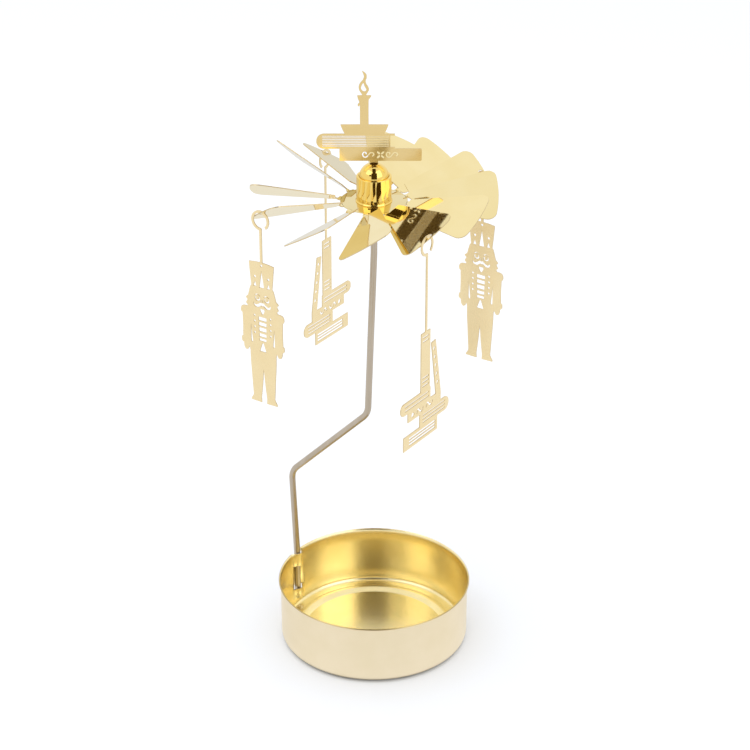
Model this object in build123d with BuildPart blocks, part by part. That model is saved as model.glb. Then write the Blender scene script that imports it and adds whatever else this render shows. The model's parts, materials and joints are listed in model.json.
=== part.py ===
from build123d import *
import math
import os

# A tealight carousel: a pressed cup holds a bent wire mast, and a heat fan with
# four flat pendants turns on the needle point at the top of the mast.
# Millimetres, +Z up, origin under the middle of the cup, mast foot towards -X.

# Pressed cup
cup_radius = 29.4
cup_height = 20.0
cup_sheet = 0.4
rim_flare = 0.6
rim_flare_height = 1.8
foot_radius = 22.6
foot_step = 0.7
foot_slope = 0.8
cup_corner = 0.4

# Woven loops in the cup wall that hold the mast
loop_top_split = 15.5
loop_low_split = 6.8
wire_seat = 2.9
wire_play = 0.05

# Bent wire mast
wire_radius = 1.0
wire_bend_radius = 6.0
bend_low = 49.5
bend_low_lean = 1.4
bend_high = 78.0
bend_high_short = 2.2
upright_level = 132.0
needle_length = 2.0
needle_point = 0.15

# Fan wheel
sheet = 0.3
fan_level = 148.4
blade_count = 12
blade_radius = 36.4
blade_root = 11.6
blade_half_angle = 14.7
blade_corner = 2.2
blade_pitch = 32.0
blade_offset = 8.0
fan_turn = -1.0
disc_radius = 9.8
neck_width = 2.4
neck_start = 10.2
neck_end = 11.3
blade_tab = 0.5
hook_count = 4
first_hook_blade = 2
hook_hole = 0.9
hook_bridge = 0.3
hook_sides = 12

# Hub: eyelet sleeve, dome and bearing plug
sleeve_radius = 5.1
sleeve_wall = 0.7
sleeve_height = 7.8
sleeve_foot = 5.9
sleeve_foot_height = 1.8
collar_radius = 4.9
collar_play = 0.05
lip_radius = 5.7
lip_height = 0.4
dome_sink = 0.5
dome_play = 0.05
slot_play = 0.05
plug_below = 2.4
plug_slot = 0.5
plug_play = 0.05
needle_drop = 0.7
needle_gap = 0.06
recess_radius = 1.6

# Flat topper: a candle in its dish on two lying books
topper_turn = 32.0
topper_lift = 5.0
stem_width = 2.4
bar_left = -9.9
bar_right = 13.7
bar_height = 3.7
book_left = -16.5
book_right = 6.0
book_height = 4.6
cover_sheet = 0.55
cover_overhang = 1.3
page_lines = 6
page_line = 0.26
page_inset = 1.7
page_end = 0.4
dish_left = -9.5
dish_right = 4.1
dish_taper = 1.2
dish_height = 2.8
dish_rim = 0.4
candle_width = 2.5
candle_middle = -2.75
candle_height = 8.8
candle_lip = 3.9
flame_height = 7.3
flame_width = 3.5
scroll_spacing = 3.4
scroll_line = 0.36
overlap = 0.1

# Pendants: ring, strip and figure etched from one sheet
hang_turn = 127.0
ring_inner = 2.3
ring_stroke = 0.8
ring_gap = 1.4
ring_sides = 16
ring_play = 0.08
strip_width = 0.8
soldier_strip = 10.0
soldier_brim = 37.6
soldier_hat = 7.9
stack_strip = 23.3
stack_height = 34.0


# Tealight cup: a pressed sheet cup with a stepped floor
cup_inner = cup_radius - cup_sheet
wire_offset = cup_radius - cup_sheet / 2
flare_start = cup_height - rim_flare_height
loop_channel = wire_radius + wire_play
loop_radius = loop_channel + cup_sheet
loop_foot = wire_seat - cup_sheet

with BuildPart() as cup_body:
    with BuildSketch(Plane.XZ) as cup_outside:
        with BuildLine():
            Polyline(
                (0, 0),
                (foot_radius, 0),
                (foot_radius + foot_slope, foot_step),
                (cup_radius, foot_step),
                (cup_radius, flare_start),
                (cup_radius + rim_flare, cup_height),
                (0, cup_height),
                close=True,
            )
        make_face()
        chamfer(cup_outside.vertices().group_by(Axis.Y)[1].sort_by(Axis.X)[-1], cup_corner)
    revolve(axis=Axis.Z)

with BuildPart() as cup_hollow:
    with BuildSketch(Plane.XZ):
        with BuildLine():
            Polyline(
                (0, cup_sheet),
                (foot_radius - cup_sheet / 2, cup_sheet),
                (foot_radius + foot_slope - cup_sheet / 2, foot_step + cup_sheet),
                (cup_inner, foot_step + cup_sheet),
                (cup_inner, flare_start),
                (cup_inner + rim_flare, cup_height),
                (0, cup_height),
                close=True,
            )
        make_face()
    revolve(axis=Axis.Z)

# The wall's loops: the upper and lower ones bend inward, the middle one outward
with BuildPart() as inward_loops:
    with BuildSketch(Plane.XY.offset(loop_foot)):
        with Locations((-wire_offset, 0)):
            Circle(loop_radius)
            Rectangle(2 * loop_radius, 2 * loop_radius, align=(Align.MAX, Align.CENTER))
    extrude(amount=loop_low_split - loop_foot)
    with BuildSketch(Plane.XY.offset(loop_top_split)):
        with Locations((-wire_offset, 0)):
            Circle(loop_radius)
            Rectangle(2 * loop_radius, 2 * loop_radius, align=(Align.MAX, Align.CENTER))
    extrude(amount=cup_height - loop_top_split)
    add(cup_body.part, mode=Mode.INTERSECT)

with BuildPart() as tealight_cup:
    add(cup_body.part)
    add(cup_hollow.part, mode=Mode.SUBTRACT)
    add(inward_loops.part)
    with BuildSketch(Plane.XY.offset(loop_low_split)):
        with Locations((-wire_offset, 0)):
            Circle(loop_radius)
        with Locations((-cup_inner, 0)):
            Rectangle(2 * loop_radius, 2 * loop_radius, align=(Align.MIN, Align.CENTER), mode=Mode.SUBTRACT)
    extrude(amount=loop_top_split - loop_low_split)
    with BuildSketch(Plane.XY.offset(loop_low_split)):
        with Locations((-wire_offset, 0)):
            Circle(loop_channel)
            Rectangle(2 * loop_radius, 2 * loop_channel, align=(Align.MIN, Align.CENTER))
    extrude(amount=loop_top_split - loop_low_split, mode=Mode.SUBTRACT)
    with BuildSketch(Plane.XY.offset(wire_seat)):
        with Locations((-wire_offset, 0)):
            Circle(loop_channel)
            Rectangle(2 * loop_radius, 2 * loop_channel, align=(Align.MAX, Align.CENTER))
    extrude(amount=loop_low_split - wire_seat, mode=Mode.SUBTRACT)
    with BuildSketch(Plane.XY.offset(loop_top_split)):
        with Locations((-wire_offset, 0)):
            Circle(loop_channel)
            Rectangle(2 * loop_radius, 2 * loop_channel, align=(Align.MAX, Align.CENTER))
    extrude(amount=cup_height - loop_top_split, mode=Mode.SUBTRACT)


# Wire mast: upright outside the cup, slanting to the axis, upright again to the needle
fan_top = fan_level + sheet
sleeve_top = fan_top + sleeve_height
dome_level = sleeve_top - dome_sink
needle_tip = dome_level - needle_drop
needle_base = needle_tip - needle_length
wire_foot = wire_seat + wire_play

with BuildPart() as wire_mast:
    with BuildLine(Plane.XZ) as mast_path:
        Line((-wire_offset, wire_foot), (-wire_offset, cup_height))
        FilletPolyline(
            (-wire_offset, cup_height),
            (-wire_offset - bend_low_lean, bend_low),
            (-bend_high_short, bend_high),
            (0, upright_level),
            radius=wire_bend_radius,
        )
        Line((0, upright_level), (0, needle_base))
    with BuildSketch(Plane.XY.offset(wire_foot)):
        with Locations((-wire_offset, 0)):
            Circle(wire_radius)
    sweep(path=mast_path.line, transition=Transition.RIGHT)
    with Locations((0, 0, needle_base + needle_length / 2)):
        Cone(wire_radius, needle_point, needle_length)


# Fan wheel: a flat disc with blades twisted on narrow necks
fan_middle = fan_level + sheet / 2
pitch_cos = math.cos(math.radians(blade_pitch))
pitch_sin = math.sin(math.radians(blade_pitch))
blade_step = 360 / blade_count
blade_plane = Plane(origin=(0, 0, fan_middle), x_dir=(1, 0, 0), z_dir=(0, -pitch_sin, pitch_cos))
low_edge = math.radians(blade_offset - blade_half_angle)
high_edge = math.radians(blade_offset + blade_half_angle)
mid_edge = math.radians(blade_offset)

# The neck twists from the disc's plane to the blade's: two flat facets on each side
neck_flat = Plane(origin=(neck_start, 0, fan_middle), x_dir=(0, 1, 0), z_dir=(1, 0, 0))
neck_twisted = Plane(origin=(neck_end, 0, fan_middle), x_dir=(0, pitch_cos, pitch_sin), z_dir=(1, 0, 0))
neck_section = [(-neck_width / 2, -sheet / 2), (neck_width / 2, -sheet / 2)]
neck_section += [(neck_width / 2, sheet / 2), (-neck_width / 2, sheet / 2)]
disc_end = [neck_flat.from_local_coords(corner) for corner in neck_section]
blade_end = [neck_twisted.from_local_coords(corner) for corner in neck_section]
neck_facets = [Face(Wire.make_polygon(disc_end[::-1])), Face(Wire.make_polygon(blade_end))]
for here in range(len(neck_section)):
    there = (here + 1) % len(neck_section)
    neck_facets.append(Face(Wire.make_polygon([disc_end[here], disc_end[there], blade_end[there]])))
    neck_facets.append(Face(Wire.make_polygon([disc_end[here], blade_end[there], blade_end[here]])))

with BuildPart() as blade:
    with BuildSketch(blade_plane.offset(-sheet / 2)) as blade_face:
        with BuildLine():
            Line(
                (blade_root * math.cos(low_edge), blade_root * math.sin(low_edge)),
                (blade_radius * math.cos(low_edge), blade_radius * math.sin(low_edge)),
            )
            ThreePointArc(
                (blade_radius * math.cos(low_edge), blade_radius * math.sin(low_edge)),
                (blade_radius * math.cos(mid_edge), blade_radius * math.sin(mid_edge)),
                (blade_radius * math.cos(high_edge), blade_radius * math.sin(high_edge)),
            )
            Line(
                (blade_radius * math.cos(high_edge), blade_radius * math.sin(high_edge)),
                (blade_root * math.cos(high_edge), blade_root * math.sin(high_edge)),
            )
            Line(
                (blade_root * math.cos(high_edge), blade_root * math.sin(high_edge)),
                (blade_root * math.cos(low_edge), blade_root * math.sin(low_edge)),
            )
        make_face()
        chamfer(blade_face.vertices().group_by(SortBy.DISTANCE)[-1], blade_corner)
        with Locations((neck_end, 0)):
            Rectangle(blade_root - neck_end + blade_tab, neck_width, align=(Align.MIN, Align.CENTER))
    extrude(amount=sheet)
    add(Solid(Shell(neck_facets)))
    with BuildSketch(Plane.XY.offset(fan_level)):
        with Locations((neck_start, 0)):
            Rectangle(neck_start - disc_radius + blade_tab, neck_width, align=(Align.MAX, Align.CENTER))
    extrude(amount=sheet)

# Place of a hook hole in the blade's own plane, near the middle of the tip
hole_distance = blade_radius - hook_bridge - hook_hole
hole_along = hole_distance * math.cos(mid_edge)
hole_across = hole_distance * math.sin(mid_edge)
hook_turn = fan_turn - blade_offset + first_hook_blade * blade_step

with BuildPart() as hook_drill:
    with BuildSketch(blade_plane):
        with Locations((hole_along, hole_across)):
            RegularPolygon(hook_hole, hook_sides, major_radius=False)
    extrude(amount=sheet, both=True)

with BuildPart() as fan_wheel:
    with BuildSketch(Plane.XY.offset(fan_level)):
        Circle(disc_radius)
        Circle(collar_radius + collar_play, mode=Mode.SUBTRACT)
    extrude(amount=sheet)
    with PolarLocations(0, blade_count, start_angle=fan_turn - blade_offset):
        add(blade.part)
    with PolarLocations(0, hook_count, start_angle=hook_turn):
        add(hook_drill.part, mode=Mode.SUBTRACT)


# Hub sleeve: an eyelet whose foot and rolled lip clamp the fan's disc
sleeve_inner = sleeve_radius - sleeve_wall

with BuildPart() as hub_sleeve:
    with BuildSketch(Plane.XZ):
        with BuildLine():
            Polyline(
                (sleeve_inner, fan_level - lip_height),
                (lip_radius, fan_level - lip_height),
                (lip_radius, fan_level),
                (collar_radius, fan_level),
                (collar_radius, fan_top),
                (sleeve_foot, fan_top),
                (sleeve_radius, fan_top + sleeve_foot_height),
                (sleeve_radius, sleeve_top),
                (sleeve_inner, sleeve_top),
                close=True,
            )
        make_face()
    revolve(axis=Axis.Z)


# Hub dome: a round cap standing on the bearing plug, in the mouth of the sleeve
dome_radius = sleeve_inner - dome_play
topper_plane = Plane(
    origin=(0, 0, 0),
    x_dir=(math.cos(math.radians(topper_turn)), math.sin(math.radians(topper_turn)), 0),
    z_dir=(math.sin(math.radians(topper_turn)), -math.cos(math.radians(topper_turn)), 0),
)

with BuildPart() as hub_dome:
    with BuildSketch(Plane.XZ):
        with BuildLine():
            dome_arc = CenterArc((0, dome_level), dome_radius, 0, 90)
            Polyline(dome_arc @ 1, (0, dome_level), dome_arc @ 0)
        make_face()
    revolve(axis=Axis.Z)
    with BuildSketch(topper_plane):
        with Locations((0, dome_level)):
            Rectangle(stem_width + 2 * slot_play, 2 * dome_radius, align=(Align.CENTER, Align.MIN))
    extrude(amount=sheet / 2 + slot_play, both=True, mode=Mode.SUBTRACT)


# Pivot cup: the bearing plug under the dome, with a conical seat for the needle
plug_radius = sleeve_inner - plug_play
plug_bottom = dome_level - plug_below

with BuildPart() as pivot_cup:
    with Locations((0, 0, plug_bottom)):
        Cylinder(plug_radius, plug_below, align=(Align.CENTER, Align.CENTER, Align.MIN))
    with BuildSketch(Plane.XZ):
        with BuildLine():
            Polyline(
                (0, plug_bottom),
                (recess_radius, plug_bottom),
                (needle_point + needle_gap, needle_tip + needle_gap),
                (0, needle_tip + needle_gap),
                close=True,
            )
        make_face()
    revolve(axis=Axis.Z, mode=Mode.SUBTRACT)
    with BuildSketch(topper_plane):
        with Locations((0, dome_level)):
            Rectangle(stem_width + 2 * slot_play, plug_slot, align=(Align.CENTER, Align.MAX))
    extrude(amount=sheet / 2 + slot_play, both=True, mode=Mode.SUBTRACT)


# Topper: one flat sheet, its tab standing in the bearing plug
tab_bottom = dome_level - plug_slot
topper_level = dome_level + topper_lift
book_level = topper_level + bar_height
dish_level = book_level + book_height
candle_level = dish_level + dish_height
flame_level = candle_level + candle_height
page_left = book_left + page_inset
page_right = book_right - cover_overhang
line_right = page_right - page_end
page_room = book_height - 2 * cover_sheet
bar_middle = (bar_left + bar_right) / 2

with BuildPart() as topper:
    with BuildSketch(topper_plane.offset(-sheet / 2)):
        with Locations((0, tab_bottom)):
            Rectangle(stem_width, topper_level + overlap - tab_bottom, align=(Align.CENTER, Align.MIN))
        with BuildLine():
            Polyline(
                (bar_left, topper_level),
                (bar_right, topper_level),
                (bar_right, book_level + overlap),
                (bar_left, book_level + overlap),
                close=True,
            )
        make_face()
        with BuildLine():
            spine_arc = ThreePointArc(
                (book_left + book_height / 2, book_level),
                (book_left, book_level + book_height / 2),
                (book_left + book_height / 2, dish_level),
            )
            Polyline(
                spine_arc @ 1,
                (book_right, dish_level),
                (book_right, dish_level - cover_sheet),
                (page_right, dish_level - cover_sheet),
                (page_right, book_level + cover_sheet),
                (book_right, book_level + cover_sheet),
                (book_right, book_level),
                spine_arc @ 0,
            )
        make_face()
        with BuildLine():
            Polyline(
                (dish_left + dish_taper, dish_level - overlap),
                (dish_right - dish_taper, dish_level - overlap),
                (dish_right, candle_level - dish_rim),
                (dish_right, candle_level),
                (dish_left, candle_level),
                (dish_left, candle_level - dish_rim),
                close=True,
            )
        make_face()
        with Locations((candle_middle, candle_level - overlap)):
            Rectangle(candle_width, candle_height + overlap, align=(Align.CENTER, Align.MIN))
        with BuildLine(Pos(candle_middle, flame_level)):
            Polyline(
                (-candle_width / 2, -2.4),
                (-candle_width / 2 - 0.55, -3.2),
                (-candle_width / 2 - 0.75, -2.7),
                (-candle_lip / 2, 0),
                (candle_lip / 2, 0),
                (candle_width / 2, -1.6),
                close=True,
            )
        make_face()
        with BuildLine(Pos(candle_middle, flame_level)):
            flame_left = Spline(
                (0, -overlap),
                (-0.5 * flame_width, 0.3 * flame_height),
                (-0.2 * flame_width, 0.7 * flame_height),
                (-0.17 * flame_width, flame_height),
            )
            Spline(
                flame_left @ 1,
                (0.32 * flame_width, 0.63 * flame_height),
                (0.5 * flame_width, 0.3 * flame_height),
                flame_left @ 0,
            )
        make_face()
        with Locations((candle_middle, flame_level)):
            Polygon(
                (0, 0.15 * flame_height),
                (0.2 * flame_width, 0.35 * flame_height),
                (0, 0.63 * flame_height),
                (-0.2 * flame_width, 0.33 * flame_height),
                align=None,
                mode=Mode.SUBTRACT,
            )
        with Locations(((page_left + line_right) / 2, book_level + book_height / 2)):
            with GridLocations(0, page_room / page_lines, 1, page_lines):
                Rectangle(line_right - page_left, page_line, mode=Mode.SUBTRACT)
        with Locations((bar_middle, topper_level + bar_height / 2)):
            with PolarLocations(0.95, 4, start_angle=45):
                Polygon((-0.6, 0), (0, -0.25), (0.6, 0), (0, 0.25), align=None, mode=Mode.SUBTRACT)
        for scroll_middle in (bar_middle - scroll_spacing, bar_middle + scroll_spacing):
            with BuildLine(Pos(scroll_middle, topper_level + bar_height / 2)):
                Polyline(
                    (-1.5, -0.1),
                    (-1.9, 0.35),
                    (-1.4, 0.75),
                    (-0.8, 0.3),
                    (-0.2, -0.5),
                    (0.5, -0.75),
                    (0.9, -0.2),
                    (0.4, 0.15),
                )
            trace(line_width=scroll_line, mode=Mode.SUBTRACT)
    extrude(amount=sheet)


# Pendants hang by their ring from the outer rim of a hook hole
turn = math.radians(hang_turn)
climb = math.sin(turn) * pitch_sin / pitch_cos
slant = math.sqrt(1 + climb * climb)
hang_x = hole_along - hook_hole * math.cos(turn) / slant
hang_y = hole_across * pitch_cos - hook_hole * math.sin(turn) / slant - sheet / 2 * pitch_sin
hang_z = fan_middle + hole_across * pitch_sin - hook_hole * climb / slant + sheet / 2 * pitch_cos
ring_outer = ring_inner + ring_stroke
ring_level = ring_play - ring_inner
strip_ends = ring_stroke / 2 + overlap
hang_plane = Plane(
    origin=(hang_x, hang_y, hang_z),
    x_dir=(math.cos(turn), math.sin(turn), 0),
    z_dir=(math.sin(turn), -math.cos(turn), 0),
)
figure_plane = hang_plane.offset(-sheet / 2)

# Hook ring: open beside the strip, so that it can be slipped through a hole
with BuildPart() as hook_ring:
    with BuildSketch(figure_plane):
        with Locations((0, ring_level)):
            RegularPolygon(ring_outer, ring_sides, major_radius=False, rotation=180 / ring_sides)
            RegularPolygon(
                ring_inner, ring_sides, major_radius=False, rotation=180 / ring_sides, mode=Mode.SUBTRACT
            )
        with Locations((strip_width / 2, ring_level - ring_outer)):
            Rectangle(ring_gap, ring_outer, align=(Align.MIN, Align.MIN), mode=Mode.SUBTRACT)
    extrude(amount=sheet)

# Soldier: drawn from the feet upward, one half mirrored
soldier_height = soldier_brim + soldier_hat
soldier_feet = ring_level - ring_outer - soldier_strip - soldier_height
soldier_strip_length = soldier_strip + strip_ends

with BuildPart() as soldier:
    with BuildSketch(figure_plane):
        with Locations((0, soldier_feet + soldier_height - overlap)):
            Rectangle(strip_width, soldier_strip_length, align=(Align.CENTER, Align.MIN))
        with BuildLine(Pos(0, soldier_feet)):
            Polyline(
                (0, soldier_height),
                (4.5, soldier_height),
                (3.8, soldier_brim),
                (4.3, 36.4),
                (5.0, 34.6),
                (4.4, 34.5),
                (5.2, 32.9),
                (4.6, 32.6),
                (5.0, 31.4),
                (4.2, 30.6),
                (6.4, 30.3),
                (7.4, 29.9),
                (7.8, 28.6),
                (7.6, 24.0),
                (7.7, 19.6),
                (7.5, 17.2),
                (7.0, 16.4),
                (6.3, 16.4),
                (5.8, 17.0),
                (5.4, 18.0),
                (4.9, 17.6),
                (4.6, 13.0),
                (3.6, 2.4),
                (4.1, 1.6),
                (4.5, 0.2),
                (1.0, 0),
                (1.2, 1.6),
                (0.25, 9.4),
                (0, 10.2),
            )
            mirror(about=Plane.YZ)
        make_face()
        with Locations((0, soldier_feet)):
            with Locations((0, soldier_height - 1.1)):
                RegularPolygon(0.4, 6, mode=Mode.SUBTRACT)
            with Locations((-2.4, soldier_height - 3.9), (2.4, soldier_height - 3.9)):
                RegularPolygon(0.35, 4, mode=Mode.SUBTRACT)
            with Locations((0, soldier_brim + 0.3)):
                Polygon((-0.85, 0), (0.85, 0), (0, soldier_hat - 2.4), align=None, mode=Mode.SUBTRACT)
            with Locations((-2.4, soldier_brim + 0.3), (2.4, soldier_brim + 0.3)):
                Polygon((-0.65, 0), (0.65, 0), (0, soldier_hat - 5.6), align=None, mode=Mode.SUBTRACT)
            with Locations((-1.7, 34.7), (1.7, 34.7)):
                Polygon((-0.6, 0), (0, -0.35), (0.6, 0), (0, 0.35), align=None, mode=Mode.SUBTRACT)
            with Locations((0, 30.3)):
                RegularPolygon(0.85, 8, mode=Mode.SUBTRACT)
            with Locations((0, 25.2)):
                with GridLocations(0, 2.15, 1, 4):
                    Rectangle(2.5, 1.25, mode=Mode.SUBTRACT)
            with Locations((0, 17.2)):
                Triangle(a=2.3, b=2.8, c=2.8, align=(Align.CENTER, Align.MIN), mode=Mode.SUBTRACT)
            with Locations((0, 25.0)):
                with GridLocations(5.2, 2.3, 2, 4):
                    RegularPolygon(0.35, 4, mode=Mode.SUBTRACT)
        with BuildLine(Pos(0, soldier_feet)):
            Polyline((-2.4, 35.4), (-1.8, 35.85), (-1.1, 35.6))
            Polyline((2.4, 35.4), (1.8, 35.85), (1.1, 35.6))
        trace(line_width=0.3, mode=Mode.SUBTRACT)
        with BuildLine(Pos(0, soldier_feet)):
            Polyline(
                (0, 33.1),
                (0.5, 33.4),
                (1.3, 32.6),
                (2.5, 32.2),
                (3.0, 32.9),
                (2.8, 31.7),
                (1.5, 31.6),
                (0.5, 32.4),
                (0, 32.2),
            )
            mirror(about=Plane.YZ)
        make_face(mode=Mode.SUBTRACT)
        with Locations((0, soldier_feet)):
            Polygon((5.5, 25.4), (5.95, 22.0), (5.75, 18.9), (5.25, 19.4), align=None, mode=Mode.SUBTRACT)
            Polygon((-5.5, 25.4), (-5.25, 19.4), (-5.75, 18.9), (-5.95, 22.0), align=None, mode=Mode.SUBTRACT)
    extrude(amount=sheet)
    add(hook_ring.part)

# Book stack: a standing book and a leaning one on four lying books
stack_feet = ring_level - ring_outer - stack_strip - stack_height
stack_strip_length = stack_strip + strip_ends

with BuildPart() as stack:
    with BuildSketch(figure_plane):
        with Locations((0, stack_feet + stack_height - overlap)):
            Rectangle(strip_width, stack_strip_length, align=(Align.CENTER, Align.MIN))
        with BuildLine(Pos(0, stack_feet)):
            Polyline((-2.6, 15.3), (2.1, 15.3), (2.1, stack_height), (-2.6, stack_height), close=True)
        make_face()
        with BuildLine(Pos(0, stack_feet)):
            Polyline((5.5, 11.4), (8.0, 11.6), (5.0, 29.5), (2.8, 29.2), close=True)
        make_face()
        with Locations((0, stack_feet)):
            with Locations((-11.1, 11.7)):
                Rectangle(13.6, 3.8, align=(Align.MIN, Align.MIN))
            with Locations((-11.1, 13.6)):
                Circle(1.9)
            with Locations((-9.2, 8.6)):
                Rectangle(17.2, 3.2, align=(Align.MIN, Align.MIN))
            with Locations((-3.0, 4.4)):
                Rectangle(13.2, 4.3, align=(Align.MIN, Align.MIN))
            with Locations((10.2, 6.55)):
                Circle(2.15)
            with Locations((-11.4, 0)):
                Rectangle(17.7, 4.5, align=(Align.MIN, Align.MIN))
            with Locations((-1.3, 2.25)):
                Rectangle(12.6, 1.5, mode=Mode.SUBTRACT)
            with Locations((4.2, 6.55)):
                with GridLocations(0, 1.1, 1, 3):
                    Rectangle(11.6, 0.34, mode=Mode.SUBTRACT)
            with Locations((-4.6, 13.6)):
                with GridLocations(0, 1.3, 1, 2):
                    Rectangle(12.4, 0.34, mode=Mode.SUBTRACT)
            with Locations((-0.25, 31.9)):
                with GridLocations(0, 1.3, 1, 2):
                    Rectangle(3.3, 0.4, mode=Mode.SUBTRACT)
            with Locations((-0.25, 18.4)):
                with GridLocations(0, 1.3, 1, 3):
                    Rectangle(3.3, 0.4, mode=Mode.SUBTRACT)
            with Locations((4.2, 27.2), (4.7, 24.4), (5.2, 21.6), (5.7, 18.8), (6.2, 16.0)):
                RegularPolygon(0.38, 6, mode=Mode.SUBTRACT)
            with Locations((-6.6, 10.2)):
                RegularPolygon(0.55, 6, mode=Mode.SUBTRACT)
        with BuildLine(Pos(0, stack_feet)):
            Polyline((-4.2, 10.0), (-3.8, 10.7), (-3.2, 10.6), (-2.6, 9.8), (-1.9, 9.8), (-1.6, 10.4))
            Polyline((0.6, 10.0), (1.0, 10.7), (1.6, 10.6), (2.2, 9.8), (2.9, 9.8), (3.2, 10.4))
        trace(line_width=0.34, mode=Mode.SUBTRACT)
    extrude(amount=sheet)
    add(hook_ring.part)

# The four pendants take every third blade, like figures opposite each other
with BuildPart() as nutcracker_a:
    with Locations(Rotation(0, 0, hook_turn + 180)):
        add(soldier.part)

with BuildPart() as nutcracker_b:
    with Locations(Rotation(0, 0, hook_turn)):
        add(soldier.part)

with BuildPart() as book_stack_a:
    with Locations(Rotation(0, 0, hook_turn + 270)):
        add(stack.part)

with BuildPart() as book_stack_b:
    with Locations(Rotation(0, 0, hook_turn + 90)):
        add(stack.part)


# Each piece to its own file
os.makedirs("parts", exist_ok=True)

tealight_cup.part.label = "tealight_cup"
export_step(tealight_cup.part, "parts/tealight_cup.step")
wire_mast.part.label = "wire_mast"
export_step(wire_mast.part, "parts/wire_mast.step")
fan_wheel.part.label = "fan_wheel"
export_step(fan_wheel.part, "parts/fan_wheel.step")
hub_sleeve.part.label = "hub_sleeve"
export_step(hub_sleeve.part, "parts/hub_sleeve.step")
hub_dome.part.label = "hub_dome"
export_step(hub_dome.part, "parts/hub_dome.step")
pivot_cup.part.label = "pivot_cup"
export_step(pivot_cup.part, "parts/pivot_cup.step")
topper.part.label = "topper"
export_step(topper.part, "parts/topper.step")
nutcracker_a.part.label = "nutcracker_a"
export_step(nutcracker_a.part, "parts/nutcracker_a.step")
nutcracker_b.part.label = "nutcracker_b"
export_step(nutcracker_b.part, "parts/nutcracker_b.step")
book_stack_a.part.label = "book_stack_a"
export_step(book_stack_a.part, "parts/book_stack_a.step")
book_stack_b.part.label = "book_stack_b"
export_step(book_stack_b.part, "parts/book_stack_b.step")
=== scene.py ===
# %% [markdown]
# A tealight carousel stands on a pale table: a pressed brass-coloured cup, a bent wire mast and a
# heat fan with four flat figures that turns on the mast's needle point.
# The model from the CAD frame is loaded first. Every piece made here has to stay inside it.

# %% Load the frame
import bpy
import bmesh
import json
import math
from mathutils import Matrix, Vector
from mathutils.geometry import delaunay_2d_cdt


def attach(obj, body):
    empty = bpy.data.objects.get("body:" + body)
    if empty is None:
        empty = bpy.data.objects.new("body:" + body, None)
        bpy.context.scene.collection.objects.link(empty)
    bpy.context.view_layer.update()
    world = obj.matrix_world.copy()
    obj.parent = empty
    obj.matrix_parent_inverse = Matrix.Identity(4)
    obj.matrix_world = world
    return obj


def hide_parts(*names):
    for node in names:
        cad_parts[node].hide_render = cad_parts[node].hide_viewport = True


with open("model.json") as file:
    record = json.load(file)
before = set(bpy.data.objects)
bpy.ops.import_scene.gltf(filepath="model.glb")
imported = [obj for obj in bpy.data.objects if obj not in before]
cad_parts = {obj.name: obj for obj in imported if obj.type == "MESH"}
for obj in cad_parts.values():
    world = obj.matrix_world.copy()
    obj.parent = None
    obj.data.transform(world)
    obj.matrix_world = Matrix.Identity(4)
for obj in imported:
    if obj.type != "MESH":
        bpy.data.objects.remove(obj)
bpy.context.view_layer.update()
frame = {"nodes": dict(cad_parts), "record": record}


# %% [markdown]
# Everything below is drawn in millimetres, like a workshop drawing, and turned into metres when a
# mesh is made. A finished mesh becomes a piece: it is joined to its body and stands for its CAD node.
# The cut edge of a sheet is duller than its faces, so a mesh can carry a second finish there.

# %% Pieces from meshes
MM = 0.001
merge_distance = 1e-7
sharp_fold = math.radians(32)


def link(name, data):
    """Puts a mesh, a light or a camera into the scene."""
    thing = bpy.data.objects.new(name, data)
    bpy.context.scene.collection.objects.link(thing)
    return thing


def smooth(mesh, fold):
    """Shades a mesh smoothly, apart from edges sharper than the fold."""
    mesh.shade_smooth()
    mesh.set_sharp_from_angle(angle=fold)


def mesh_from(name, points, faces, cut_edges=(), place=None):
    """A clean mesh from points in millimetres; cut_edges are faces that get the second finish."""
    build = bmesh.new()
    corners = [build.verts.new(Vector(p) * MM) for p in points]
    for finish, group in enumerate((faces, cut_edges)):
        for face in group:
            build.faces.new([corners[i] for i in face]).material_index = finish
    bmesh.ops.remove_doubles(build, verts=build.verts, dist=merge_distance)
    bmesh.ops.recalc_face_normals(build, faces=build.faces)
    mesh = bpy.data.meshes.new(name)
    build.to_mesh(mesh)
    build.free()
    if place is not None:
        mesh.transform(place)
    smooth(mesh, sharp_fold)
    return mesh


def add_piece(name, mesh, finishes, body, slot, *nodes):
    """Links a mesh as a piece of a body that stands for the given CAD nodes."""
    if not mesh.materials:
        for finish in finishes:
            mesh.materials.append(finish)
    piece = link(name, mesh)
    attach(piece, body)
    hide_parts(*nodes)
    print(name, "has", len(mesh.polygons), "faces")


def settle(thing):
    """Turns an object with modifiers into a plain mesh and removes the object."""
    view = bpy.context.evaluated_depsgraph_get()
    mesh = bpy.data.meshes.new_from_object(thing.evaluated_get(view), depsgraph=view)
    bpy.data.objects.remove(thing)
    return mesh


# %% [markdown]
# Plated sheet brass is never one even colour: the plating is a little thicker here and thinner
# there, the rolled sheet keeps a fine grain, and thin sheet is never quite flat, so a reflection in
# it wavers. One recipe makes all the finishes: two close tones mixed by soft clouds, a fine grain
# in the gloss, and a bump made of that grain and of long, low waves.

# %% One recipe for plated metal
patch_size, grain_size = 9.0, 0.16
patch_start, patch_end = 0.35, 0.65


def step(tree, kind, *links, **settings):
    """Adds a node with its settings; links are pairs of an output or a value and an input's name."""
    node = tree.nodes.new(kind)
    for key, value in settings.items():
        setattr(node, key, value)
    for source, target in links:
        if hasattr(source, "node"):
            tree.links.new(source, node.inputs[target])
        else:
            node.inputs[target].default_value = source
    return node


def new_material(name):
    material = bpy.data.materials.new(name)
    material.use_nodes = True
    return material, material.node_tree


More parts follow.
